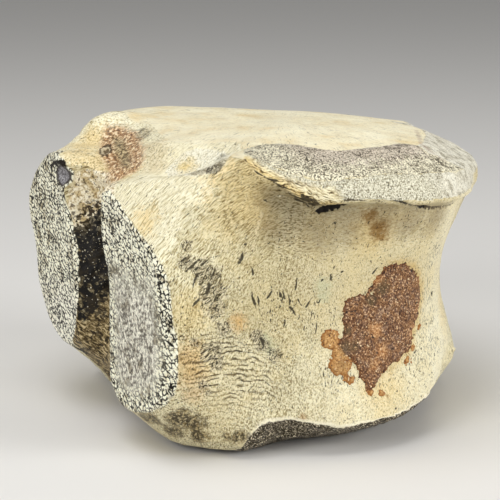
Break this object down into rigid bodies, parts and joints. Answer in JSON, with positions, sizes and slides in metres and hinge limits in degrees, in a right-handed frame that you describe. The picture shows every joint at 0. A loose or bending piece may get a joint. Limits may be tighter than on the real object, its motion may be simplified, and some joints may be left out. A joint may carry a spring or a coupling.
{
  "type": "fossil pliosaur vertebra",
  "caption": "Worn fossil centrum with broad end faces, a pinched waist, two stippled arch facets and the groove of the spinal canal between them, lying on one end face.",
  "frame": {"origin": "on the surface it rests on, under the middle of the bone's bounding box", "axes": "+Z along the bone's length, up from the end face it lies on; +X across its width, towards the side the picture shows; -Y towards its back, where the two arch facets and the canal groove are"},
  "size_m": [0.11, 0.097, 0.068],
  "materials": {
    "fossil_bone": "cream fossil bone, dry and matt, with a slight sheen on the smooth end face"
  },
  "bodies": {
    "root": {"centrum": "fossil_bone"}
  },
  "joints": []
}
